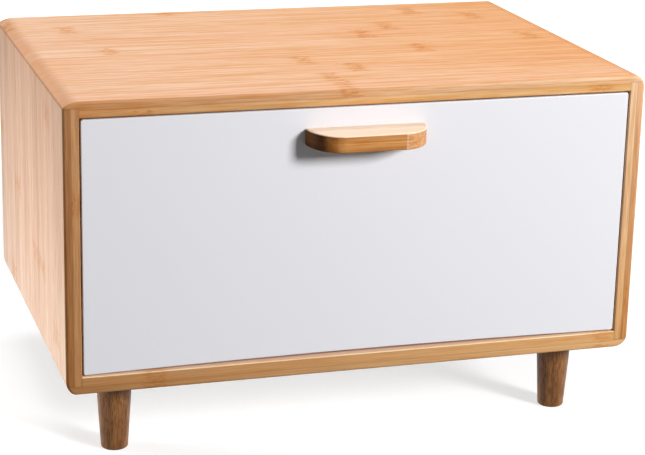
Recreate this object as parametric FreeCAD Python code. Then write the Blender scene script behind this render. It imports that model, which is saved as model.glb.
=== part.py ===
import FreeCAD, Part
import math
import os

# Bread box with one large drawer: a rabbeted bamboo case on four turned legs, and a bamboo drawer
# behind a white lacquered front with a wooden pull.
# Millimetres. X is the width, -Y the side that the drawer opens to, Z up.
# The origin is on the floor, in the middle of the whole outline, pull included.

# ---------------------------------------------------------------- driving dimensions

# Case
case_width = 380.0
case_depth = 264.0
case_height = 186.5
board_thickness = 10.0           # top and sides
floor_thickness = 11.5
rabbet_depth = 6.0               # cut out of the inner faces, at the corners and round the back
outer_arris = 1.8                # rounding round the front and rear rims, outside
inner_arris = 0.5                # the same, inside

# The four long outer corners, eased by hand and each a little different
top_left_easing_width = 11.0
top_left_easing_height = 5.2
top_right_easing_width = 6.5
top_right_easing_height = 8.0
bottom_left_easing_width = 6.5
bottom_left_easing_height = 9.5
bottom_right_easing_width = 9.0
bottom_right_easing_height = 7.5

# Legs
leg_length = 52.0
leg_top_diameter = 24.0
leg_foot_diameter = 17.5
leg_foot_rounding = 1.5
leg_side_inset = 37.0            # case side to leg axis
leg_end_inset = 36.5             # case front or rear to leg axis
hanger_bolt_diameter = 6.0
hanger_bolt_wood_length = 25.0
insert_nut_diameter = 10.0
insert_nut_length = 8.0

# Back panel, screwed into a rabbet
back_thickness = 4.0
back_recess = 1.0                # rear rim to back panel
back_slack = 0.3                 # round the panel in its rabbet
back_screw_diameter = 2.5
back_screw_head_diameter = 5.0
back_screw_length = 14.0
back_screw_end_spacing = 40.0    # from a corner of the panel to the nearest screws
vent_diameter = 8.0
vent_pitch = 24.0
vent_count = 7
vent_drop = 32.0                 # inner face of the top to the vent centres

# Drawer front
front_thickness = 9.0
front_recess = 0.5               # case rim to the white face
front_side_gap = 1.0
front_top_gap = 1.0
front_bottom_gap = 1.0           # at the two lower corners
front_bottom_rise = 1.9          # relief arc of the lower edge
front_corner_radius = 1.5
front_edge_rounding = 0.7

# Drawer box
box_side_gap = 2.0               # drawer side to case side
box_wall_thickness = 8.0
box_screw_gap = 11.0             # upper edge of the sides to the heads of the pull screws
box_back_rise = 9.0              # the back stands above the sides, to meet the stop blocks
box_rear_gap = 6.0               # drawer to back panel
box_edge_rounding = 1.0
box_bottom_thickness = 4.0
box_bottom_lift = 6.0            # lower edge of the sides to the groove
groove_depth = 4.0
groove_slack = 0.3
dowel_diameter = 5.0
dowel_length = 24.0
dowel_side_depth = 5.0           # the part of a dowel in the drawer side
dowel_edge_spacing = 32.0        # from the lower and upper edges of the box
front_screw_diameter = 3.5
front_screw_head_diameter = 7.0
front_screw_length = 14.0
front_screw_side_inset = 50.0    # drawer side to screw
front_screw_edge_inset = 28.0    # lower and upper edges of the box to screw

# Pull
pull_width = 77.5
pull_projection = 24.5
pull_thickness = 10.6
pull_easing_width = 19.5         # each end of the pull is a quarter of an ellipse, over its whole depth
pull_edge_rounding = 0.6
pull_drop = 12.5                 # top of the drawer front to top of the pull
pull_screw_diameter = 4.0
pull_screw_head_diameter = 8.0
pull_screw_spacing = 40.0
pull_screw_bite = 16.0           # screw length inside the pull

# Glide strips, stop blocks and bumpers
strip_width = 12.0
strip_thickness = 2.0
strip_front_gap = 2.0            # drawer front to strip
glide_clearance = 0.3
block_width = 14.0
block_height = 14.0
block_length = 30.0
block_clearance = 1.2            # above the drawer side
block_screw_diameter = 3.0
block_screw_head_diameter = 6.0
block_screw_length = 20.0
block_screw_end_spacing = 8.0
bumper_diameter = 9.0
bumper_thickness = 2.0
bumper_rounding = 0.8
bumper_clearance = 0.3

# All fasteners and dowels
hole_clearance = 0.1             # radial
tip_chamfer_ratio = 0.15         # chamfer at the ends of dowels and bolts, over their diameter
pan_height_ratio = 0.32          # pan head height over its diameter
pan_rounding_ratio = 0.45        # rounding of a pan head, over its height
recess_width_ratio = 0.16        # cross recess over head diameter
recess_length_ratio = 0.6
recess_depth_ratio = 0.6         # cross recess over head height

# ---------------------------------------------------------------- derived planes

pull_proud = pull_projection - front_recess
front_y = (pull_proud - case_depth) / 2
rear_y = front_y + case_depth
half_width = case_width / 2
inner_half_width = half_width - board_thickness
case_bottom = leg_length
case_top = leg_length + case_height
floor_top = case_bottom + floor_thickness
ceiling = case_top - board_thickness
lap_bottom = floor_top - rabbet_depth
lap_top = ceiling + rabbet_depth
case_middle = (case_bottom + case_top) / 2
opening_middle = (floor_top + ceiling) / 2
inner_half_height = (ceiling - floor_top) / 2

face_y = front_y + front_recess
front_back_y = face_y + front_thickness
front_half_width = inner_half_width - front_side_gap
front_bottom = floor_top + front_bottom_gap
front_top = ceiling - front_top_gap

pull_top = front_top - pull_drop
pull_middle = pull_top - pull_thickness / 2

back_rear_y = rear_y - back_recess
back_front_y = back_rear_y - back_thickness
back_half_width = inner_half_width + rabbet_depth - back_slack
back_half_height = inner_half_height + rabbet_depth - back_slack

box_half_width = inner_half_width - box_side_gap
box_inner_half_width = box_half_width - box_wall_thickness
box_bottom = floor_top + strip_thickness + glide_clearance
box_top = pull_middle - pull_screw_head_diameter / 2 - box_screw_gap
box_rear_y = back_front_y - box_rear_gap
box_back_y = box_rear_y - box_wall_thickness
box_inner_front_y = front_back_y + box_wall_thickness
groove_bottom = box_bottom + box_bottom_lift

block_bottom = box_top + block_clearance
block_front_y = front_back_y + bumper_clearance + bumper_thickness
block_rear_y = block_front_y + block_length
block_middle = block_bottom + block_height / 2

tolerance = 1e-6                 # for finding edges, not a clearance
ALONG_X = FreeCAD.Vector(1, 0, 0)
ALONG_Y = FreeCAD.Vector(0, 1, 0)
ALONG_Z = FreeCAD.Vector(0, 0, 1)


# ---------------------------------------------------------------- helpers

def block(x_range, y_range, z_range):
    size = [high - low for low, high in (x_range, y_range, z_range)]
    corner = FreeCAD.Vector(x_range[0], y_range[0], z_range[0])
    return Part.makeBox(size[0], size[1], size[2], corner)


def edges_along(shape, axis):
    """The straight edges of a shape that are parallel to an axis."""
    found = []
    for edge in shape.Edges:
        if isinstance(edge.Curve, Part.Line) and abs(edge.Curve.Direction.dot(axis)) > 1 - tolerance:
            found.append(edge)
    return found


def round_edges(shape):
    return [edge for edge in shape.Edges if isinstance(edge.Curve, Part.Circle)]


def edges_in_plane(shape, axis, place):
    """The edges of a shape that lie in the plane across an axis at a place along it."""
    found = []
    for edge in shape.Edges:
        middle = edge.valueAt((edge.FirstParameter + edge.LastParameter) / 2)
        ends = [vertex.Point for vertex in edge.Vertexes]
        if all(abs(point.dot(axis) - place) < tolerance for point in ends + [middle]):
            found.append(edge)
    return found


def quarter_ellipse(start, corner, end):
    """The quarter of an ellipse that touches both sides of a square corner."""
    curve = Part.BezierCurve()
    curve.setPoles([start, corner, end])
    curve.setWeight(2, math.sqrt(0.5))
    return curve.toShape()


def mirror_x(shape):
    return shape.mirror(FreeCAD.Vector(0, 0, 0), ALONG_X)


def pin(start, direction, radius, length):
    return Part.makeCylinder(radius, length, start, direction)


def cross_recess(top, direction, head_diameter, head_height):
    """The cross-shaped hollow in a screw head, sunk from its outer face."""
    width = head_diameter * recess_width_ratio
    length = head_diameter * recess_length_ratio
    depth = head_height * recess_depth_ratio
    bars = []
    for size_x, size_y in ((width, length), (length, width)):
        corner = FreeCAD.Vector(-size_x / 2, -size_y / 2, 0)
        bars.append(Part.makeBox(size_x, size_y, depth, corner))
    cross = bars[0].fuse(bars[1])
    cross.Placement = FreeCAD.Placement(top, FreeCAD.Rotation(ALONG_Z, direction))
    return cross


def pan_screw(seat, direction, diameter, head_diameter, length):
    """A pan-head screw: seat is the middle of the head's underside, length is below it."""
    head_height = head_diameter * pan_height_ratio
    shank = pin(seat, direction, diameter / 2, length)
    top = seat - direction * head_height
    head = pin(top, direction, head_diameter / 2, head_height)
    rounding = head_height * pan_rounding_ratio
    rim = [edge for edge in round_edges(head) if (edge.Curve.Center - top).Length < tolerance]
    head = head.makeFillet(rounding, rim)
    screw = shank.fuse(head).removeSplitter()
    return screw.cut(cross_recess(top, direction, head_diameter, head_height))


def countersunk_shape(top, direction, diameter, head_diameter, length):
    """A 90 degree countersunk head on a plain shank; length includes the head."""
    head_height = (head_diameter - diameter) / 2
    head = Part.makeCone(head_diameter / 2, diameter / 2, head_height, top, direction)
    return head.fuse(pin(top, direction, diameter / 2, length)).removeSplitter()


def countersunk_screw(top, direction, diameter, head_diameter, length):
    """A flat-head screw: top is the middle of its flush outer face."""
    head_height = (head_diameter - diameter) / 2
    screw = countersunk_shape(top, direction, diameter, head_diameter, length)
    return screw.cut(cross_recess(top, direction, head_diameter, head_height))


def cut_all(shape, tools):
    for tool in tools:
        shape = shape.cut(tool)
    return shape


# ---------------------------------------------------------------- fastener places

def leg_places():
    x = half_width - leg_side_inset
    front = front_y + leg_end_inset
    rear = rear_y - leg_end_inset
    return {
        "front_left_leg": (-x, front),
        "front_right_leg": (x, front),
        "rear_left_leg": (-x, rear),
        "rear_right_leg": (x, rear),
    }


def back_screw_tops():
    """Eight screws: two along each edge of the back panel, in the middle of the rabbet."""
    edge_x = inner_half_width + rabbet_depth / 2
    edge_z = inner_half_height + rabbet_depth / 2
    inner_x = inner_half_width - back_screw_end_spacing
    inner_z = inner_half_height - back_screw_end_spacing
    places = []
    for side in (-1, 1):
        for end in (-1, 1):
            places.append((end * inner_x, side * edge_z))
            places.append((side * edge_x, end * inner_z))
    return [FreeCAD.Vector(x, back_rear_y, opening_middle + z) for x, z in places]


def block_screw_tops():
    """Two screws through each stop block; these are the ones on the right."""
    x = inner_half_width - block_width
    ends = (block_front_y + block_screw_end_spacing, block_rear_y - block_screw_end_spacing)
    return [FreeCAD.Vector(x, y, block_middle) for y in ends]


def dowel_starts():
    """The ends of the dowels in the right-hand drawer side."""
    x = box_half_width - box_wall_thickness + dowel_side_depth
    rows = (front_back_y + box_wall_thickness / 2, box_back_y + box_wall_thickness / 2)
    heights = (box_bottom + dowel_edge_spacing, box_top - dowel_edge_spacing)
    return [FreeCAD.Vector(x, y, z) for y in rows for z in heights]


def front_screw_seats():
    x = box_half_width - front_screw_side_inset
    heights = (box_bottom + front_screw_edge_inset, box_top - front_screw_edge_inset)
    return [FreeCAD.Vector(side * x, box_inner_front_y, z) for side in (-1, 1) for z in heights]


def pull_screw_seats():
    x = pull_screw_spacing / 2
    return [FreeCAD.Vector(side * x, front_back_y, pull_middle) for side in (-1, 1)]


# ---------------------------------------------------------------- case

def case_block():
    """The case as if it were solid, with its four eased corners and its two rounded rims."""
    def point(x, z):
        return FreeCAD.Vector(x, front_y, z)

    corners = (
        (-half_width, case_bottom, bottom_left_easing_width, bottom_left_easing_height),
        (-half_width, case_top, top_left_easing_width, top_left_easing_height),
        (half_width, case_top, top_right_easing_width, top_right_easing_height),
        (half_width, case_bottom, bottom_right_easing_width, bottom_right_easing_height),
    )
    arcs = []
    for x, z, width, height in corners:
        on_side = point(x, z + math.copysign(height, case_middle - z))
        on_level = point(x - math.copysign(width, x), z)
        side_first = (x < 0) == (z > case_middle)
        first, last = (on_side, on_level) if side_first else (on_level, on_side)
        arcs.append((first, last, quarter_ellipse(first, point(x, z), last)))
    edges = []
    for index, (first, last, arc) in enumerate(arcs):
        next_first = arcs[(index + 1) % len(arcs)][0]
        edges.append(arc)
        edges.append(Part.LineSegment(last, next_first).toShape())
    body = Part.Face(Part.Wire(edges)).extrude(ALONG_Y * case_depth)
    for rim_y in (front_y, rear_y):
        body = body.makeFillet(outer_arris, edges_in_plane(body, ALONG_Y, rim_y))
    return body


def case_shell():
    """The four boards as one tube, open at the front and rabbeted at the rear."""
    reach = board_thickness
    hollow = block(
        (-inner_half_width, inner_half_width),
        (front_y - reach, rear_y + reach),
        (floor_top, ceiling),
    )
    shell = case_block().cut(hollow)
    inner_rim = []
    for edge in edges_in_plane(shell, ALONG_Y, front_y):
        middle = edge.valueAt((edge.FirstParameter + edge.LastParameter) / 2)
        in_width = abs(middle.x) < inner_half_width + tolerance
        in_height = abs(middle.z - opening_middle) < inner_half_height + tolerance
        if in_width and in_height:
            inner_rim.append(edge)
    shell = shell.makeChamfer(inner_arris, inner_rim)
    rabbet = block(
        (-inner_half_width - rabbet_depth, inner_half_width + rabbet_depth),
        (back_front_y, rear_y + reach),
        (lap_bottom, lap_top),
    )
    return shell.cut(rabbet)


def board_spaces():
    """The part of the tube that each board takes; the sides stand in rabbets of the other two."""
    reach = board_thickness
    depth = (front_y - reach, rear_y + reach)
    full_width = (-half_width - reach, half_width + reach)
    inner_width = (-inner_half_width, inner_half_width)
    top = block(full_width, depth, (lap_top, case_top + reach))
    bottom = block(full_width, depth, (case_bottom - reach, lap_bottom))
    right = block((inner_half_width, half_width + reach), depth, (lap_bottom, lap_top))
    return {
        "top_panel": top.fuse(block(inner_width, depth, (case_middle, lap_top))),
        "bottom_panel": bottom.fuse(block(inner_width, depth, (lap_bottom, case_middle))),
        "left_side_panel": mirror_x(right),
        "right_side_panel": right,
    }


def insert_nut(x, y):
    outer = pin(FreeCAD.Vector(x, y, case_bottom), ALONG_Z, insert_nut_diameter / 2, insert_nut_length)
    bore_radius = hanger_bolt_diameter / 2 + hole_clearance
    bore = pin(FreeCAD.Vector(x, y, case_bottom), ALONG_Z, bore_radius, insert_nut_length)
    return outer.cut(bore)


def insert_nut_hole(x, y):
    radius = insert_nut_diameter / 2 + hole_clearance
    return pin(FreeCAD.Vector(x, y, case_bottom), ALONG_Z, radius, insert_nut_length)


def hanger_bolt(x, y):
    foot = FreeCAD.Vector(x, y, case_bottom - hanger_bolt_wood_length)
    length = hanger_bolt_wood_length + insert_nut_length
    bolt = pin(foot, ALONG_Z, hanger_bolt_diameter / 2, length)
    tips = round_edges(bolt)
    return bolt.makeChamfer(hanger_bolt_diameter * tip_chamfer_ratio, tips)


def case_boards():
    """The four boards of the case, with every hole that other pieces need."""
    shell = case_shell()
    boards = {}
    for name, space in board_spaces().items():
        boards[name] = shell.common(space)
    leg_holes = [insert_nut_hole(x, y) for x, y in leg_places().values()]
    boards["bottom_panel"] = cut_all(boards["bottom_panel"], leg_holes)
    block_holes = []
    for top in block_screw_tops():
        radius = block_screw_diameter / 2 + hole_clearance
        block_holes.append(pin(top, ALONG_X, radius, block_screw_length))
    boards["right_side_panel"] = cut_all(boards["right_side_panel"], block_holes)
    mirrored_holes = [mirror_x(hole) for hole in block_holes]
    boards["left_side_panel"] = cut_all(boards["left_side_panel"], mirrored_holes)
    back_holes = []
    for top in back_screw_tops():
        radius = back_screw_diameter / 2 + hole_clearance
        back_holes.append(pin(top, -ALONG_Y, radius, back_screw_length))
    for name in boards:
        boards[name] = cut_all(boards[name], back_holes)
    return boards


def back_panel():
    panel = block(
        (-back_half_width, back_half_width),
        (back_front_y, back_rear_y),
        (opening_middle - back_half_height, opening_middle + back_half_height),
    )
    row_start = -vent_pitch * (vent_count - 1) / 2
    vents = []
    for index in range(vent_count):
        x = row_start + index * vent_pitch
        start = FreeCAD.Vector(x, back_front_y, ceiling - vent_drop)
        vents.append(pin(start, ALONG_Y, vent_diameter / 2, back_thickness))
    screw_holes = []
    for top in back_screw_tops():
        screw_holes.append(countersunk_shape(
            top,
            -ALONG_Y,
            back_screw_diameter + 2 * hole_clearance,
            back_screw_head_diameter + 2 * hole_clearance,
            back_screw_length,
        ))
    return cut_all(panel, vents + screw_holes)


def back_panel_screws():
    return Part.makeCompound([
        countersunk_screw(
            top,
            -ALONG_Y,
            back_screw_diameter,
            back_screw_head_diameter,
            back_screw_length,
        )
        for top in back_screw_tops()
    ])


def leg(x, y):
    """A turned leg, tapering down from the case, bored for its hanger bolt."""
    body = Part.makeCone(
        leg_foot_diameter / 2,
        leg_top_diameter / 2,
        leg_length,
        FreeCAD.Vector(x, y, 0),
        ALONG_Z,
    )
    body = body.makeFillet(leg_foot_rounding, edges_in_plane(body, ALONG_Z, 0.0))
    bore_start = FreeCAD.Vector(x, y, leg_length - hanger_bolt_wood_length)
    bore = pin(bore_start, ALONG_Z, hanger_bolt_diameter / 2 + hole_clearance, hanger_bolt_wood_length)
    return body.cut(bore)


def glide_strip():
    """The right-hand strip on the case floor, under the drawer side."""
    return block(
        (inner_half_width - strip_width, inner_half_width),
        (front_back_y + strip_front_gap, back_front_y),
        (floor_top, floor_top + strip_thickness),
    )


def stop_block():
    """The right-hand block: it holds the open drawer level and stops it at both ends."""
    body = block(
        (inner_half_width - block_width, inner_half_width),
        (block_front_y, block_rear_y),
        (block_bottom, block_bottom + block_height),
    )
    holes = []
    for top in block_screw_tops():
        holes.append(countersunk_shape(
            top,
            ALONG_X,
            block_screw_diameter + 2 * hole_clearance,
            block_screw_head_diameter + 2 * hole_clearance,
            block_screw_length,
        ))
    return cut_all(body, holes)


def stop_block_screws():
    right = [
        countersunk_screw(
            top,
            ALONG_X,
            block_screw_diameter,
            block_screw_head_diameter,
            block_screw_length,
        )
        for top in block_screw_tops()
    ]
    return Part.makeCompound(right + [mirror_x(screw) for screw in right])


def closing_bumper():
    """The soft disc on the front end of the right-hand stop block."""
    centre = FreeCAD.Vector(inner_half_width - block_width / 2, block_front_y, block_middle)
    disc = pin(centre, -ALONG_Y, bumper_diameter / 2, bumper_thickness)
    rim = edges_in_plane(disc, ALONG_Y, block_front_y - bumper_thickness)
    return disc.makeFillet(bumper_rounding, rim)


# ---------------------------------------------------------------- drawer

def drawer_front():
    """The white front; its lower edge is relieved in a long shallow arc."""
    low_left = FreeCAD.Vector(-front_half_width, face_y, front_bottom)
    low_right = FreeCAD.Vector(front_half_width, face_y, front_bottom)
    crown = FreeCAD.Vector(0, face_y, front_bottom + front_bottom_rise)
    top_left = FreeCAD.Vector(-front_half_width, face_y, front_top)
    top_right = FreeCAD.Vector(front_half_width, face_y, front_top)
    outline = Part.Wire([
        Part.Arc(low_left, crown, low_right).toShape(),
        Part.LineSegment(low_right, top_right).toShape(),
        Part.LineSegment(top_right, top_left).toShape(),
        Part.LineSegment(top_left, low_left).toShape(),
    ])
    panel = Part.Face(outline).extrude(ALONG_Y * front_thickness)
    panel = panel.makeFillet(front_corner_radius, edges_along(panel, ALONG_Y))
    panel = panel.makeFillet(front_edge_rounding, edges_in_plane(panel, ALONG_Y, face_y))
    holes = []
    for seat in pull_screw_seats():
        radius = pull_screw_diameter / 2 + hole_clearance
        holes.append(pin(seat, -ALONG_Y, radius, front_thickness))
    for seat in front_screw_seats():
        radius = front_screw_diameter / 2 + hole_clearance
        holes.append(pin(seat, -ALONG_Y, radius, front_screw_length))
    return cut_all(panel, holes)


def bottom_groove():
    """The space that the drawer bottom takes in the four walls of the box."""
    depth = groove_depth
    return block(
        (-box_inner_half_width - depth, box_inner_half_width + depth),
        (box_inner_front_y - depth, box_back_y + depth),
        (groove_bottom, groove_bottom + box_bottom_thickness + groove_slack),
    )


def drawer_bottom():
    reach = groove_depth - groove_slack
    return block(
        (-box_inner_half_width - reach, box_inner_half_width + reach),
        (box_inner_front_y - reach, box_back_y + reach),
        (groove_bottom, groove_bottom + box_bottom_thickness),
    )


def dowel_holes():
    radius = dowel_diameter / 2 + hole_clearance
    right = [pin(start, -ALONG_X, radius, dowel_length) for start in dowel_starts()]
    return right + [mirror_x(hole) for hole in right]


def drawer_dowels():
    dowels = []
    for start in dowel_starts():
        dowel = pin(start, -ALONG_X, dowel_diameter / 2, dowel_length)
        dowels.append(dowel.makeChamfer(dowel_diameter * tip_chamfer_ratio, round_edges(dowel)))
    return Part.makeCompound(dowels + [mirror_x(dowel) for dowel in dowels])


def drawer_side():
    """The right-hand side, over the whole depth of the box, its upper edges eased."""
    board = block(
        (box_inner_half_width, box_half_width),
        (front_back_y, box_rear_y),
        (box_bottom, box_top),
    )
    upper = edges_along(board, ALONG_Y)
    upper = [edge for edge in upper if edge.CenterOfMass.z > box_top - tolerance]
    board = board.makeFillet(box_edge_rounding, upper)
    return cut_all(board, [bottom_groove()] + dowel_holes())


def cross_board(y_front, y_rear, top):
    """A board between the two sides, its upper edges eased."""
    board = block(
        (-box_inner_half_width, box_inner_half_width),
        (y_front, y_rear),
        (box_bottom, top),
    )
    upper = edges_along(board, ALONG_X)
    upper = [edge for edge in upper if edge.CenterOfMass.z > top - tolerance]
    board = board.makeFillet(box_edge_rounding, upper)
    return cut_all(board, [bottom_groove()] + dowel_holes())


def drawer_inner_front():
    board = cross_board(front_back_y, box_inner_front_y, box_top)
    holes = []
    for seat in front_screw_seats():
        radius = front_screw_diameter / 2 + hole_clearance
        holes.append(pin(seat, -ALONG_Y, radius, front_screw_length))
    return cut_all(board, holes)


def drawer_back():
    return cross_board(box_back_y, box_rear_y, box_top + box_back_rise)


def drawer_front_screws():
    return Part.makeCompound([
        pan_screw(
            seat,
            -ALONG_Y,
            front_screw_diameter,
            front_screw_head_diameter,
            front_screw_length,
        )
        for seat in front_screw_seats()
    ])


def pull():
    """A thick plate, straight at the back, its two ends swept round to the front."""
    half = pull_width / 2
    tip_y = face_y - pull_projection
    bottom = pull_top - pull_thickness

    def point(x, y):
        return FreeCAD.Vector(x, y, bottom)

    back_left = point(-half, face_y)
    back_right = point(half, face_y)
    front_left = point(-half + pull_easing_width, tip_y)
    front_right = point(half - pull_easing_width, tip_y)
    outline = Part.Wire([
        Part.LineSegment(back_right, back_left).toShape(),
        quarter_ellipse(back_left, point(-half, tip_y), front_left),
        Part.LineSegment(front_left, front_right).toShape(),
        quarter_ellipse(front_right, point(half, tip_y), back_right),
    ])
    body = Part.Face(outline).extrude(ALONG_Z * pull_thickness)
    rims = edges_in_plane(body, ALONG_Z, bottom) + edges_in_plane(body, ALONG_Z, pull_top)
    rims = [edge for edge in rims if edge.CenterOfMass.y < face_y - tolerance]
    body = body.makeFillet(pull_edge_rounding, rims)
    holes = []
    for seat in pull_screw_seats():
        radius = pull_screw_diameter / 2 + hole_clearance
        holes.append(pin(seat, -ALONG_Y, radius, front_thickness + pull_screw_bite))
    return cut_all(body, holes)


def pull_screws():
    return Part.makeCompound([
        pan_screw(
            seat,
            -ALONG_Y,
            pull_screw_diameter,
            pull_screw_head_diameter,
            front_thickness + pull_screw_bite,
        )
        for seat in pull_screw_seats()
    ])


# ---------------------------------------------------------------- all the pieces

def case_pieces():
    pieces = case_boards()
    pieces["back_panel"] = back_panel()
    pieces["back_panel_screws"] = back_panel_screws()
    for name, (x, y) in leg_places().items():
        pieces[name] = leg(x, y)
    places = leg_places().values()
    pieces["leg_hanger_bolts"] = Part.makeCompound([hanger_bolt(x, y) for x, y in places])
    pieces["leg_insert_nuts"] = Part.makeCompound([insert_nut(x, y) for x, y in places])
    pieces["right_glide_strip"] = glide_strip()
    pieces["left_glide_strip"] = mirror_x(glide_strip())
    pieces["right_stop_block"] = stop_block()
    pieces["left_stop_block"] = mirror_x(stop_block())
    pieces["stop_block_screws"] = stop_block_screws()
    pieces["right_closing_bumper"] = closing_bumper()
    pieces["left_closing_bumper"] = mirror_x(closing_bumper())
    return pieces


def drawer_pieces():
    return {
        "drawer_front": drawer_front(),
        "drawer_inner_front": drawer_inner_front(),
        "drawer_left_side": mirror_x(drawer_side()),
        "drawer_right_side": drawer_side(),
        "drawer_back": drawer_back(),
        "drawer_bottom": drawer_bottom(),
        "drawer_dowels": drawer_dowels(),
        "drawer_front_screws": drawer_front_screws(),
        "drawer_pull": pull(),
        "drawer_pull_screws": pull_screws(),
    }


os.makedirs("parts", exist_ok=True)
all_pieces = {}
all_pieces.update(case_pieces())
all_pieces.update(drawer_pieces())
for node, shape in all_pieces.items():
    shape.exportStep(os.path.join("parts", node + ".step"))
    print(node, len(shape.Solids), "solids,", round(shape.Volume / 1000.0, 2), "cm3, valid", shape.isValid())
print("drawer back to stop blocks", round(box_back_y - block_rear_y, 2))
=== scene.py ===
import math

import bpy
from mathutils import Matrix, Vector


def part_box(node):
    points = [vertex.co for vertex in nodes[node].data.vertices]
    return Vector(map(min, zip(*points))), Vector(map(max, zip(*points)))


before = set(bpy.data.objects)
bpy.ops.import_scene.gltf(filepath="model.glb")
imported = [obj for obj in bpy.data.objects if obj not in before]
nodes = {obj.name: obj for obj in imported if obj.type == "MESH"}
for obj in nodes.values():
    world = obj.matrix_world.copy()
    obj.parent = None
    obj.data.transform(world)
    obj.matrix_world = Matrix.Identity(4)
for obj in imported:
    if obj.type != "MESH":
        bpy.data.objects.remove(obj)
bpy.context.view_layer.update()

# ---------------------------------------------------------------- places read from the frame, in metres

top_low, top_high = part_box("top_panel")
floor_low, floor_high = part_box("bottom_panel")
side_low, side_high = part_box("right_side_panel")
pull_low, pull_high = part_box("drawer_pull")

half_width = side_high.x
inner_half_width = side_low.x
case_bottom = floor_low.z
case_top = top_high.z
ceiling = top_low.z
floor_top = floor_high.z
lap_bottom = side_low.z
lap_top = side_high.z
front_y = top_low.y

X, Y, Z = 0, 1, 2
HAIR = 0.0001                        # a distance too small to see
STRIP = 0.025                        # width of one bamboo strip
LAYER = 0.005                        # thickness of one layer of strips
LEVEL_SEAM = front_y + 0.02375       # the first joint between strips, in the top and bottom boards
UPRIGHT_SEAM = front_y + 0.022       # the same in the side boards
FIRST_STRIP = -1                     # the number of the strip in front of that first joint
OFF_BOARD = -0.3                     # a knuckle's place that lies off every board
KNUCKLE_STEP = 0.113                 # from one inner strip's knuckle to the next one's
KNUCKLE_MIDDLE = 0.0060              # half a knuckle's length in the middle of its strip
KNUCKLE_EDGE = 0.0100                # the same at the edges of the strip
KNUCKLE_WANDER = 0.0040              # how far a knuckle's ragged line strays either way
RIM_FADE = 0.0010, 0.0020            # from the front: the rim's colour starts to fade, and is gone
GLUE_LINE = 0.0003                   # half the width of a dark glue line
EASED_END = 0.012                    # from a side of the case: the top board's end starts to turn down


# ---------------------------------------------------------------- shader helpers

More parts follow.
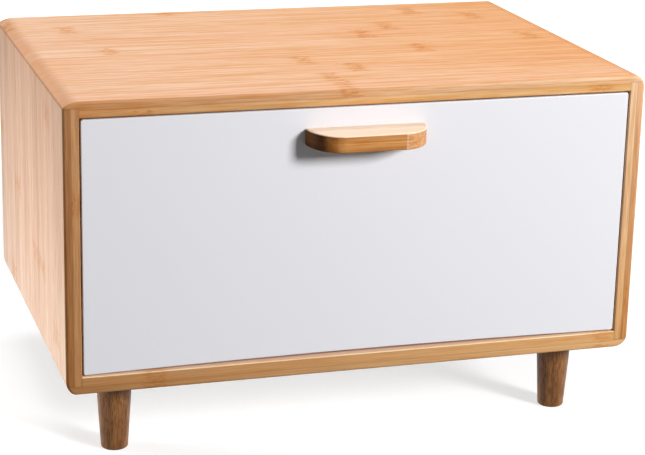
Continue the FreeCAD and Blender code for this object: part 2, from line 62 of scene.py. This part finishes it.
class Shader:
    """A material's node tree, with one short method for each kind of node that is used."""

    def __init__(self, name):
        self.material = bpy.data.materials.new(name)
        self.material.use_nodes = True
        self.tree = self.material.node_tree
        self.tree.nodes.clear()
        self.output = self.tree.nodes.new("ShaderNodeOutputMaterial")

    def make(self, kind, **settings):
        node = self.tree.nodes.new(kind)
        for key, value in settings.items():
            setattr(node, key, value)
        return node

    def feed(self, socket, value):
        if isinstance(value, bpy.types.NodeSocket):
            self.tree.links.new(value, socket)
        elif socket.type == "RGBA" and len(value) == 3:
            socket.default_value = (*value, 1.0)
        else:
            socket.default_value = value

    def math(self, operation, first, second=0.0):
        node = self.make("ShaderNodeMath", operation=operation)
        self.feed(node.inputs[0], first)
        self.feed(node.inputs[1], second)
        return node.outputs[0]

    def add(self, first, second):
        return self.math("ADD", first, second)

    def less(self, first, second):
        return self.math("SUBTRACT", first, second)

    def times(self, first, second):
        return self.math("MULTIPLY", first, second)

    def size(self, value):
        return self.math("ABSOLUTE", value)

    def split(self, vector):
        node = self.make("ShaderNodeSeparateXYZ")
        self.feed(node.inputs[0], vector)
        return node.outputs[0], node.outputs[1], node.outputs[2]

    def join(self, x, y, z):
        node = self.make("ShaderNodeCombineXYZ")
        for socket, value in zip(node.inputs, (x, y, z)):
            self.feed(socket, value)
        return node.outputs[0]

    def here(self):
        return self.make("ShaderNodeTexCoord").outputs["Object"]

    def noise(self, vector, scale=1.0, detail=2.0, roughness=0.5):
        node = self.make("ShaderNodeTexNoise", noise_dimensions="3D")
        self.feed(node.inputs["Vector"], vector)
        node.inputs["Scale"].default_value = scale
        node.inputs["Detail"].default_value = detail
        node.inputs["Roughness"].default_value = roughness
        return node.outputs[0]

    def chance(self, x, y, z):
        """A random number for each place, which is given in whole numbers."""
        node = self.make("ShaderNodeTexWhiteNoise", noise_dimensions="3D")
        self.feed(node.inputs["Vector"], self.join(x, y, z))
        return node.outputs["Value"]

    def mix(self, factor, first, second, kind):
        node = self.make("ShaderNodeMix", data_type="RGBA", blend_type=kind)
        self.feed(node.inputs[0], factor)
        colours = [socket for socket in node.inputs if socket.type == "RGBA"]
        self.feed(colours[0], first)
        self.feed(colours[1], second)
        return [socket for socket in node.outputs if socket.type == "RGBA"][0]

    def blend(self, factor, first, second):
        return self.mix(factor, first, second, "MIX")

    def stain(self, factor, colour, tint):
        """The colour multiplied by a tint, as far as the factor says."""
        return self.mix(factor, colour, tint, "MULTIPLY")

    def shade(self, colour, factor):
        """A colour made darker or lighter by a factor that may vary from place to place."""
        node = self.make("ShaderNodeVectorMath", operation="SCALE")
        self.feed(node.inputs[0], colour)
        self.feed(node.inputs["Scale"], factor)
        return node.outputs[0]

    def span(self, value, low, high, to_low=0.0, to_high=1.0, smooth=True):
        """The value carried from low...high over to to_low...to_high, and held beyond both ends."""
        kind = "SMOOTHSTEP" if smooth else "LINEAR"
        node = self.make("ShaderNodeMapRange", interpolation_type=kind)
        for name, number in (
            ("Value", value),
            ("From Min", low),
            ("From Max", high),
            ("To Min", to_low),
            ("To Max", to_high),
        ):
            self.feed(node.inputs[name], number)
        return node.outputs[0]

    def pick(self, index, first, values):
        """The value listed for a whole-number index; the list starts at the index called first."""
        node = self.make("ShaderNodeValToRGB")
        node.color_ramp.interpolation = "CONSTANT"
        count = len(values)
        self.feed(node.inputs[0], self.math("DIVIDE", self.add(index, 0.5 - first), count))
        elements = node.color_ramp.elements
        while len(elements) < count:
            elements.new(0.5)
        for number, value in enumerate(values):
            elements[number].position = number / count
            elements[number].color = (value, value, value, 1.0)
        return self.split(node.outputs[0])[0]

    def bump(self, height, distance, strength):
        node = self.make("ShaderNodeBump")
        self.feed(node.inputs["Height"], height)
        node.inputs["Distance"].default_value = distance
        node.inputs["Strength"].default_value = strength
        return node.outputs[0]

    def surface(self, colour, roughness, normal, **constants):
        shader = self.make("ShaderNodeBsdfPrincipled")
        self.feed(shader.inputs["Base Color"], colour)
        self.feed(shader.inputs["Roughness"], roughness)
        self.feed(shader.inputs["Normal"], normal)
        for name, value in constants.items():
            shader.inputs[name.replace("_", " ")].default_value = value
        self.feed(self.output.inputs["Surface"], shader.outputs[0])
        return self.material


# ---------------------------------------------------------------- bamboo

TOP_PALE, TOP_DEEP = (0.94, 0.685, 0.54), (0.90, 0.58, 0.392)
SIDE_PALE, SIDE_DEEP = (0.81, 0.63, 0.505), (0.66, 0.445, 0.315)
BOX_PALE, BOX_DEEP = (0.78, 0.52, 0.29), (0.68, 0.41, 0.20)
PULL_PALE, PULL_DEEP = (0.93, 0.79, 0.65), (0.90, 0.70, 0.52)
KNUCKLE_TINT, HALO_TINT = (0.80, 0.58, 0.38), (0.98, 0.91, 0.80)
SEAM_TINT, GLUE_TINT = (0.76, 0.64, 0.52), (0.30, 0.22, 0.16)


class Lay:
    """How a board's strips lie: the axes along, across and through them, and where they start."""

    def __init__(self, grain, across, through, seam=0.0, face=0.0, inward=1.0):
        self.grain = grain
        self.across = across
        self.through = through
        self.seam = seam             # a joint between two strips
        self.face = face             # the board's outer face
        self.inward = inward         # the way from that face into the board


class Bamboo:
    """Laminated bamboo: strips side by side, each with its own tone, fibres and knuckles."""

    def __init__(self, name, lay, pale, deep, seed):
        s = self.s = Shader(name)
        self.seed = seed
        self.place = s.split(s.here())
        self.along = self.place[lay.grain]
        self.side = self.place[lay.across]
        self.depth = self.place[lay.through]
        into_board = s.times(s.less(self.depth, lay.face), lay.inward)
        self.from_face = s.add(into_board, HAIR)     # clear of the first layer's boundary
        self.from_front = s.less(self.place[Y], front_y)
        across = s.math("DIVIDE", s.less(self.side, lay.seam), STRIP)
        self.column = s.math("FLOOR", across)
        self.from_middle = s.size(s.less(s.math("FRACT", across), 0.5))
        self.row = s.math("FLOOR", s.math("DIVIDE", self.from_face, LAYER))
        tone = s.chance(self.column, self.row, seed)
        hue = s.chance(self.column, self.row, seed + 3.0)
        shift = s.chance(self.column, self.row, seed + 7.0)
        self.run = s.add(self.along, s.times(shift, 3.0))
        self.streaks = self.strands(8.0, 260.0, 5.0)
        self.fibres = self.strands(45.0, 1100.0, 2.0)
        cloud = self.strands(5.0, 70.0, 2.0)
        self.colour = s.blend(s.span(tone, 0.0, 1.0, 0.0, 0.6, smooth=False), pale, deep)
        self.colour = s.blend(s.span(cloud, 0.35, 0.68, 0.0, 0.55), self.colour, deep)
        self.colour = s.stain(hue, self.colour, (1.0, 0.965, 0.985))
        self.knuckle = None

    def strands(self, along, across, detail):
        """Noise drawn out along the strips; the two numbers are its steps in a metre."""
        s = self.s
        vector = s.join(s.times(self.run, along), s.times(self.side, across), s.times(self.depth, across))
        return s.noise(vector, detail=detail, roughness=0.6)

    def listed_knuckles(self, places, beneath, gap, strength):
        """Knuckles at listed places in the outer strips, and in even steps in the strips beneath.

        beneath is the place in the first inner strip. Each strip repeats its knuckle after the gap.
        """
        s = self.s
        lift = 0.5                   # the picker holds no number below nought
        outer = s.less(s.pick(self.column, FIRST_STRIP, [place + lift for place in places]), lift)
        inner = s.add(beneath, s.times(s.less(self.column, FIRST_STRIP), KNUCKLE_STEP))
        is_inner = s.math("MINIMUM", s.math("MAXIMUM", self.row, 0.0), 1.0)
        start = s.add(outer, s.times(is_inner, s.less(inner, outer)))
        self.smudge(start, gap, strength)

    def scattered_knuckles(self):
        """One knuckle at a chance place in each length of each strip."""
        gap = 0.30
        start = self.s.times(self.s.chance(self.column, self.row, self.seed + 13.0), gap)
        self.smudge(start, gap, strength=0.45)

    def smudge(self, start, gap, strength):
        """The bamboo's own nodes: a ragged orange-brown mark across each strip, narrow in the middle."""
        s = self.s
        ragged = s.join(s.times(self.side, 300.0), s.times(self.depth, 300.0), self.row)
        stray = s.noise(ragged, detail=3.0, roughness=0.7)
        wander = s.span(stray, 0.2, 0.8, -KNUCKLE_WANDER, KNUCKLE_WANDER, smooth=False)
        turn = s.math("DIVIDE", s.less(s.add(self.along, wander), start), gap)
        reach = s.size(s.times(s.less(turn, s.math("ROUND", turn)), gap))
        half_length = s.span(self.from_middle, 0.0, 0.5, KNUCKLE_MIDDLE, KNUCKLE_EDGE)
        core = s.span(reach, s.times(half_length, 0.4), half_length, 1.0, 0.0)
        halo = s.span(reach, 0.0, s.times(half_length, 2.0), 1.0, 0.0)
        frayed = s.span(self.strands(170.0, 620.0, 4.0), 0.44, 0.56)
        self.knuckle = s.times(core, frayed)
        flecks = s.span(self.strands(260.0, 900.0, 3.0), 0.54, 0.68, 1.0, 1.12)
        self.colour = s.stain(s.times(halo, strength), self.colour, HALO_TINT)
        self.colour = s.stain(s.times(self.knuckle, strength), self.colour, KNUCKLE_TINT)
        gleam = s.times(s.times(core, strength), s.less(flecks, 1.0))
        self.colour = s.shade(self.colour, s.add(1.0, gleam))

    def seams(self, strength=0.3):
        """The thin darker lines where two strips meet."""
        s = self.s
        line = s.span(self.from_middle, 0.485, 0.499, 0.0, strength)
        self.colour = s.stain(line, self.colour, SEAM_TINT)

    def rim(self, axis, outer, inner):
        """The front edge shows the strips from their side: darker, in two layers, streaked lengthwise.

        outer and inner are each a pair of colours, for the low and the high end of the axis.
        """
        s = self.s
        low, high = (-half_width, half_width) if axis == X else (case_bottom, case_top)
        turn = s.span(self.place[axis], low, high, smooth=False)
        layer = s.span(self.from_face, LAYER - 0.0002, LAYER + 0.0004)
        colour = s.blend(layer, s.blend(turn, *outer), s.blend(turn, *inner))
        from_line = s.size(s.less(self.from_face, LAYER + HAIR))
        colour = s.shade(colour, s.span(from_line, 0.0001, 0.0006, 0.84, 1.0))
        wavy = self.strands(22.0, 900.0, 3.0)
        colour = s.shade(colour, s.span(wavy, 0.3, 0.72, 1.05, 0.9))
        near = s.span(self.from_front, *RIM_FADE, 1.0, 0.0)
        self.colour = s.blend(near, self.colour, colour)

    def grain(self, streak=0.8, fibre=0.6, tint=(0.95, 0.84, 0.72), where=1.0):
        """Darker streaks and fibres; nought leaves them out and one gives the whole tint."""
        s = self.s
        streaks = s.times(s.span(self.streaks, 0.44, 0.62, 0.0, streak), where)
        fibres = s.times(s.span(self.fibres, 0.40, 0.64, 0.0, fibre), where)
        self.colour = s.stain(streaks, self.colour, tint)
        self.colour = s.stain(fibres, self.colour, tint)

    def joint(self, from_joint, half=GLUE_LINE, darkness=0.45, where=1.0):
        """A glue line, dark within half its width of the joint, and fainter on the front rim."""
        s = self.s
        line = s.times(s.span(s.size(from_joint), half, half * 3.0, 1.0, 0.0), where)
        off_rim = s.span(self.from_front, 0.0005, 0.0015, 0.4, 1.0)
        self.colour = s.stain(s.times(s.times(line, darkness), off_rim), self.colour, GLUE_TINT)

    def corner_joints(self):
        """The lapped corners: along the laps outside, up the shoulders inside."""
        s = self.s
        x, _, z = self.place
        out = s.size(x)
        over_sides = s.span(out, inner_half_width - GLUE_LINE, inner_half_width)
        self.joint(s.less(z, lap_top), where=over_sides)
        self.joint(s.less(z, lap_bottom), where=over_sides)
        up = s.span(z, ceiling - GLUE_LINE, ceiling)
        down = s.span(z, floor_top, floor_top + GLUE_LINE, 1.0, 0.0)
        below_lap = s.span(z, lap_top, lap_top + GLUE_LINE, 1.0, 0.0)
        above_lap = s.span(z, lap_bottom - GLUE_LINE, lap_bottom)
        shoulder = s.times(s.math("MAXIMUM", up, down), s.times(below_lap, above_lap))
        self.joint(s.less(out, inner_half_width), where=shoulder)

    def finish(self, roughness=0.46):
        """The whole material; fibres, streaks and knuckles stand up a little."""
        s = self.s
        height = s.add(s.times(self.fibres, 0.4), s.times(self.streaks, 0.3))
        if self.knuckle is not None:
            height = s.add(height, s.times(self.knuckle, 0.3))
        rough = s.span(self.fibres, 0.3, 0.75, roughness - 0.04, roughness + 0.06)
        normal = s.bump(height, distance=0.00015, strength=0.3)
        return s.surface(self.colour, rough, normal, Specular_IOR_Level=0.08)


# Where the knuckles are in each strip, from the front strip back: across the top and bottom boards
# from their middle, and up the side boards from the case's underside
TOP_KNUCKLES = (
    -0.010, -0.012, 0.012, -0.015, 0.075, -0.135,
    0.050, 0.075, 0.150, 0.110, -0.070, 0.020,
)
BOTTOM_KNUCKLES = (
    -0.134, 0.030, 0.110, -0.060, 0.085, -0.020,
    0.140, 0.055, -0.100, 0.010, 0.125, -0.045,
)
LEFT_KNUCKLES = (
    OFF_BOARD, 0.0275, 0.166, 0.058, 0.0587, OFF_BOARD,
    OFF_BOARD, 0.085, 0.014, OFF_BOARD, 0.110, 0.060,
)
RIGHT_KNUCKLES = (
    0.035, 0.120, OFF_BOARD, 0.071, 0.155, 0.044,
    OFF_BOARD, 0.132, 0.023, 0.098, OFF_BOARD, 0.060,
)


def top_bamboo():
    """The top board: warmer towards the right where a painted sheen fades, and painted shade, browner,
    where its ends turn down.
    """
    lay = Lay(X, Y, Z, seam=LEVEL_SEAM, face=case_top, inward=-1.0)
    wood = Bamboo("bamboo top", lay, TOP_PALE, TOP_DEEP, seed=1.0)
    s = wood.s
    x = wood.place[X]
    # painted sheen: the tint takes the pale sheen off towards the right and the back, so the left front
    # stays palest
    sheen_fade = s.span(x, -half_width, half_width, smooth=False)
    sheen_fade = s.times(sheen_fade, s.span(wood.from_front, 0.0, 0.10, 0.6, 1.0))
    wood.colour = s.stain(sheen_fade, wood.colour, (0.955, 0.79, 0.56))
    # painted shade: the ends are browned where the board turns down and loses its sheen
    end_shade = s.span(s.size(x), half_width - EASED_END, half_width - EASED_END / 3)
    wood.colour = s.stain(end_shade, wood.colour, (0.84, 0.70, 0.56))
    outer = (0.52, 0.25, 0.102), (0.78, 0.53, 0.345)
    inner = (0.57, 0.30, 0.13), (0.78, 0.51, 0.26)
    wood.rim(X, outer, inner)
    wood.listed_knuckles(TOP_KNUCKLES, beneath=-0.142, gap=0.30, strength=0.7)
    wood.seams()
    fainter_ends = s.less(1.0, s.times(end_shade, 0.7))
    wood.grain(streak=1.0, fibre=0.8, tint=(0.92, 0.78, 0.60), where=fainter_ends)
    wood.corner_joints()
    return wood.finish(roughness=0.70)


def bottom_bamboo():
    """The bottom board: a painted highlight runs along the inner arris of its front rim."""
    lay = Lay(X, Y, Z, seam=LEVEL_SEAM, face=case_bottom, inward=1.0)
    wood = Bamboo("bamboo bottom", lay, TOP_PALE, TOP_DEEP, seed=2.0)
    outer = (0.40, 0.205, 0.081), (0.69, 0.43, 0.21)
    inner = (0.45, 0.23, 0.095), (0.67, 0.39, 0.175)
    wood.rim(X, outer, inner)
    s = wood.s
    # painted highlight: a pale line along the inner arris, just behind the front
    arris_highlight = s.span(wood.place[Z], floor_top - 0.0008, floor_top - 0.0002)
    arris_highlight = s.times(arris_highlight, s.span(wood.from_front, 0.0018, 0.0030, 1.0, 0.0))
    wood.colour = s.blend(s.times(arris_highlight, 0.9), wood.colour, (0.95, 0.76, 0.52))
    wood.listed_knuckles(BOTTOM_KNUCKLES, beneath=-0.134, gap=0.306, strength=0.5)
    wood.seams()
    wood.grain()
    wood.corner_joints()
    return wood.finish()


def side_bamboo(name, inward, outer, inner, knuckles, beneath, seed):
    """A side board: the strips stand upright; painted sheen makes it paler towards the foot and near the
    front.
    """
    lay = Lay(Z, Y, X, seam=UPRIGHT_SEAM, face=-inward * half_width, inward=inward)
    wood = Bamboo(name, lay, SIDE_PALE, SIDE_DEEP, seed)
    s = wood.s
    # painted sheen: the stain darkens the board towards its top, so it is paler towards the foot
    high = s.span(wood.place[Z], case_bottom, case_top, smooth=False)
    wood.colour = s.stain(high, wood.colour, (0.95, 0.79, 0.64))
    # painted sheen: paler within 30 mm of the front, fading out by 60 mm, stronger low on the board
    near_front = s.span(wood.from_front, 0.03, 0.06, 0.45, 0.0)
    painted_front_sheen = s.times(near_front, s.less(1.0, s.times(high, 0.7)))
    wood.colour = s.blend(painted_front_sheen, wood.colour, (0.80, 0.62, 0.47))
    wood.rim(Z, outer, inner)
    places = [case_bottom + place for place in knuckles]
    wood.listed_knuckles(places, beneath=case_bottom + beneath, gap=1.0, strength=0.55)
    wood.seams(0.6)
    wood.grain(streak=0.9, fibre=0.9, tint=(0.86, 0.79, 0.73))
    wood.corner_joints()
    return wood.finish()


def left_bamboo():
    outer = (0.33, 0.145, 0.047), (0.42, 0.20, 0.084)
    inner = (0.50, 0.257, 0.105), (0.56, 0.30, 0.138)
    return side_bamboo(
        "bamboo left side", 1.0, outer, inner, LEFT_KNUCKLES, beneath=0.123, seed=3.0,
    )


def right_bamboo():
    outer = (0.515, 0.235, 0.072), (0.735, 0.43, 0.24)
    inner = (0.63, 0.34, 0.136), (0.83, 0.565, 0.345)
    return side_bamboo(
        "bamboo right side", -1.0, outer, inner, RIGHT_KNUCKLES, beneath=OFF_BOARD, seed=4.0,
    )


def box_bamboo(name, grain, across, through, seed):
    """The plainer boards, out of sight while the drawer is shut."""
    wood = Bamboo(name, Lay(grain, across, through), BOX_PALE, BOX_DEEP, seed)
    wood.scattered_knuckles()
    wood.seams()
    wood.grain()
    return wood.finish()


def pull_bamboo():
    """The pull's strips lie flat: pale above, brown where its front and ends show them cut, with painted
    shade on the left end and a painted highlight on the right crease and end.
    """
    lay = Lay(X, Y, Z, seam=pull_low.y, face=pull_high.z, inward=-1.0)
    wood = Bamboo("bamboo pull", lay, PULL_PALE, PULL_DEEP, seed=5.0)
    s = wood.s
    x, _, z = wood.place
    thickness = pull_high.z - pull_low.z
    glue_level = 0.38                # of the thickness, from the top: the joint of the two layers
    crease_x = 0.0197                # a painted highlight line down the front, and a painted lit end beyond it
    end_shade_x = -0.0265                # painted shade on the left end starts here,
    deep_shade_x = -0.0340                 # and deepens from here,
    shade_band_x = -0.0337                 # with its darkest painted band here
    down = s.times(s.less(pull_high.z, z), 1.0 / thickness)
    cut = s.blend(s.span(down, 0.05, glue_level), (0.52, 0.245, 0.085), (0.66, 0.33, 0.115))
    cut = s.blend(s.span(down, 0.45, 0.98), cut, (0.42, 0.185, 0.05))
    # painted highlight: the end beyond the crease is lightened, with a pale line on the crease itself
    lit_right_end = s.span(x, crease_x - 0.0009, crease_x + 0.0003, 0.0, 0.85)
    cut = s.blend(lit_right_end, cut, (0.66, 0.36, 0.17))
    crease_highlight = s.span(s.size(s.less(x, crease_x)), 0.0002, 0.0009, 0.5, 0.0)
    cut = s.blend(crease_highlight, cut, (0.80, 0.56, 0.42))
    # painted shade: the left end darkens where it turns away from the light, deepest in a band
    cut = s.stain(s.span(x, end_shade_x, end_shade_x + 0.003, 1.0, 0.0), cut, (0.72, 0.62, 0.45))
    cut = s.stain(s.span(x, deep_shade_x, deep_shade_x + 0.003, 0.8, 0.0), cut, (0.48, 0.46, 0.46))
    shade_band = s.span(s.size(s.less(x, shade_band_x)), 0.0008, 0.0035, 0.8, 0.0)
    cut = s.stain(shade_band, cut, (0.55, 0.55, 0.58))
    below = s.span(down, 0.03, 0.09)
    wood.colour = s.blend(below, wood.colour, cut)
    cut_grain = s.span(below, 0.0, 1.0, 0.35, 1.0)
    wood.grain(streak=cut_grain, fibre=cut_grain, tint=(0.84, 0.74, 0.62))
    wood.joint(s.less(z, pull_high.z - glue_level * thickness), half=0.0002, darkness=0.6)
    return wood.finish(roughness=0.4)


# ---------------------------------------------------------------- the other materials

def leg_wood():
    """Stained wood with short dark pores that run down the leg."""
    s = Shader("stained leg wood")
    x, y, z = s.split(s.here())
    for_streaks = s.join(s.times(x, 220.0), s.times(y, 220.0), s.times(z, 14.0))
    broad = s.noise(for_streaks, detail=3.0, roughness=0.55)
    for_pores = s.join(s.times(x, 1300.0), s.times(y, 1300.0), s.times(z, 130.0))
    pores = s.noise(for_pores, roughness=0.6)
    colour = s.blend(s.span(broad, 0.35, 0.65), (0.29, 0.128, 0.040), (0.19, 0.074, 0.019))
    colour = s.stain(s.span(pores, 0.45, 0.60), colour, (0.55, 0.47, 0.40))
    rough = s.span(pores, 0.4, 0.75, 0.36, 0.44)
    normal = s.bump(s.times(pores, -1.0), distance=0.00012, strength=0.5)
    return s.surface(colour, rough, normal, Specular_IOR_Level=0.3)


def white_lacquer():
    """Satin white paint with a faint orange peel."""
    s = Shader("white lacquer")
    peel = s.noise(s.here(), scale=420.0)
    shade = s.noise(s.here(), scale=9.0)
    colour = s.blend(shade, (0.700, 0.695, 0.730), (0.715, 0.710, 0.740))
    rough = s.span(peel, 0.2, 0.8, 0.30, 0.36)
    return s.surface(colour, rough, s.bump(peel, distance=0.00008, strength=0.25))


def plain(name, colour, roughness, **constants):
    """One colour with a fine, faint grain, for metal, plastic, rubber and dowels."""
    s = Shader(name)
    grain = s.noise(s.here(), scale=700.0, detail=3.0)
    tint = s.blend(grain, tuple(value * 0.92 for value in colour), colour)
    rough = s.span(grain, 0.3, 0.7, roughness - 0.03, roughness + 0.05)
    normal = s.bump(grain, distance=0.00005, strength=0.3)
    return s.surface(tint, rough, normal, **constants)


# ---------------------------------------------------------------- which piece wears which material

lengthwise = box_bamboo("bamboo lengthwise", X, Z, Y, seed=11.0)
front_to_back = box_bamboo("bamboo front to back", Y, Z, X, seed=12.0)
sheet = box_bamboo("bamboo sheet", X, Y, Z, seed=13.0)
leg = leg_wood()
steel = plain("zinc steel", (0.62, 0.62, 0.62), roughness=0.35, Metallic=1.0)
brass = plain("brass", (0.72, 0.55, 0.25), roughness=0.35, Metallic=1.0)
nylon = plain("nylon", (0.82, 0.81, 0.77), roughness=0.5)
rubber = plain("bumper rubber", (0.3, 0.3, 0.3), roughness=0.7)
beech = plain("beech", (0.72, 0.50, 0.31), roughness=0.6)

dress = {
    "top_panel": top_bamboo(),
    "bottom_panel": bottom_bamboo(),
    "left_side_panel": left_bamboo(),
    "right_side_panel": right_bamboo(),
    "back_panel": lengthwise,
    "back_panel_screws": steel,
    "front_left_leg": leg,
    "front_right_leg": leg,
    "rear_left_leg": leg,
    "rear_right_leg": leg,
    "leg_hanger_bolts": steel,
    "leg_insert_nuts": brass,
    "left_glide_strip": nylon,
    "right_glide_strip": nylon,
    "left_stop_block": front_to_back,
    "right_stop_block": front_to_back,
    "stop_block_screws": steel,
    "left_closing_bumper": rubber,
    "right_closing_bumper": rubber,
    "drawer_front": white_lacquer(),
    "drawer_inner_front": lengthwise,
    "drawer_left_side": front_to_back,
    "drawer_right_side": front_to_back,
    "drawer_back": lengthwise,
    "drawer_bottom": sheet,
    "drawer_dowels": beech,
    "drawer_front_screws": steel,
    "drawer_pull": pull_bamboo(),
    "drawer_pull_screws": steel,
}

for name, part in nodes.items():
    part.data.materials.clear()
    part.data.materials.append(dress[name])


# ---------------------------------------------------------------- camera

def place_camera():
    """In front of the box, to its left and above it, looking down at it with a long lens."""
    camera = bpy.data.objects.new("camera", bpy.data.cameras.new("camera"))
    bpy.context.scene.collection.objects.link(camera)
    azimuth = math.radians(-17.44)
    elevation = math.radians(17.09)
    roll = math.radians(1.37)
    eye = Vector((-0.38568, front_y - 1.14316, case_bottom + 0.46680))
    back = Vector((
        math.sin(azimuth) * math.cos(elevation),
        -math.cos(azimuth) * math.cos(elevation),
        math.sin(elevation),
    ))
    right = (-back).cross(Vector((0, 0, 1))).normalized()
    up = back.cross(right)
    rolled_right = right * math.cos(roll) + up * math.sin(roll)
    rolled_up = up * math.cos(roll) - right * math.sin(roll)
    turn = Matrix((rolled_right, rolled_up, back)).transposed()
    camera.matrix_world = Matrix.Translation(eye) @ turn.to_4x4()
    camera.data.sensor_width = 36.0
    camera.data.lens = 111.38
    camera.data.clip_start = 0.05
    bpy.context.scene.camera = camera


place_camera()


# ---------------------------------------------------------------- light, floor and background

def softbox(name, place, target, size, watts, spread=180):
    """A square soft lamp that faces its target; spread is its beam's whole angle in degrees."""
    lamp = bpy.data.lights.new(name, "AREA")
    lamp.shape = "SQUARE"
    lamp.size = size
    lamp.energy = watts
    lamp.spread = math.radians(spread)
    item = bpy.data.objects.new(name, lamp)
    bpy.context.scene.collection.objects.link(item)
    item.location = place
    item.rotation_euler = (Vector(target) - Vector(place)).to_track_quat("-Z", "Y").to_euler()


def seen_directly(tree):
    """1 for rays from the camera, also by way of a reflection or a clear piece; 0 for scattered light."""
    path = tree.nodes.new("ShaderNodeLightPath")
    result = path.outputs["Is Camera Ray"]
    for kind in ("Is Transmission Ray", "Is Glossy Ray"):
        either = tree.nodes.new("ShaderNodeMath")
        either.operation = "MAXIMUM"
        tree.links.new(result, either.inputs[0])
        tree.links.new(path.outputs[kind], either.inputs[1])
        result = either.outputs[0]
    return result


def white_world():
    """A background seen as white, which lends the object only a little light of its own."""
    world = bpy.data.worlds.new("world")
    bpy.context.scene.world = world
    world.use_nodes = True
    tree = world.node_tree
    tree.nodes.clear()
    output = tree.nodes.new("ShaderNodeOutputWorld")
    mix = tree.nodes.new("ShaderNodeMixShader")
    tree.links.new(seen_directly(tree), mix.inputs[0])
    scattered, seen = mix.inputs[1], mix.inputs[2]
    for socket, strength in ((scattered, 0.06), (seen, 1.0)):
        background = tree.nodes.new("ShaderNodeBackground")
        background.inputs[0].default_value = (1.0, 1.0, 1.0, 1.0)
        background.inputs[1].default_value = strength
        tree.links.new(background.outputs[0], socket)
    tree.links.new(mix.outputs[0], output.inputs[0])


def pale_floor():
    """A white sweep under the box, which meets the background without a horizon."""
    mesh = bpy.data.meshes.new("floor")
    reach = 6.0
    grey_in_bounces = (0.12, 0.12, 0.12)
    grey_seen = (0.47, 0.47, 0.47)
    corners = [(-reach, -reach, 0), (reach, -reach, 0), (reach, reach, 0), (-reach, reach, 0)]
    mesh.from_pydata(corners, [], [(0, 1, 2, 3)])
    floor = bpy.data.objects.new("floor", mesh)
    bpy.context.scene.collection.objects.link(floor)
    s = Shader("floor")
    seen = seen_directly(s.tree)
    diffuse = s.make("ShaderNodeBsdfDiffuse")
    s.feed(diffuse.inputs[0], s.blend(seen, grey_in_bounces, grey_seen))
    x, y, _ = s.split(s.here())
    distance = s.math("SQRT", s.add(s.times(x, x), s.times(y, y)))
    whiter_far_off = s.span(distance, 0.25, 1.0, 0.70, 1.0)
    glow = s.make("ShaderNodeEmission")          # brings the seen floor up to the background's white
    s.feed(glow.inputs["Strength"], s.times(seen, whiter_far_off))
    both = s.make("ShaderNodeAddShader")
    s.feed(both.inputs[0], diffuse.outputs[0])
    s.feed(both.inputs[1], glow.outputs[0])
    s.feed(s.output.inputs[0], both.outputs[0])
    mesh.materials.append(s.material)


softbox("right softbox", (1.32, -1.81, 1.00), (0, -0.12, 0.14), size=0.5, watts=69)
softbox("left softbox", (-1.35, 0.50, 0.18), (-0.19, -0.05, 0.0), size=0.35, watts=1.10, spread=36)
softbox("top softbox", (-0.2, 0.45, 1.9), (0, 0, 0.12), size=1.0, watts=19.5)
white_world()
pale_floor()

bpy.context.scene.view_settings.view_transform = "Standard"
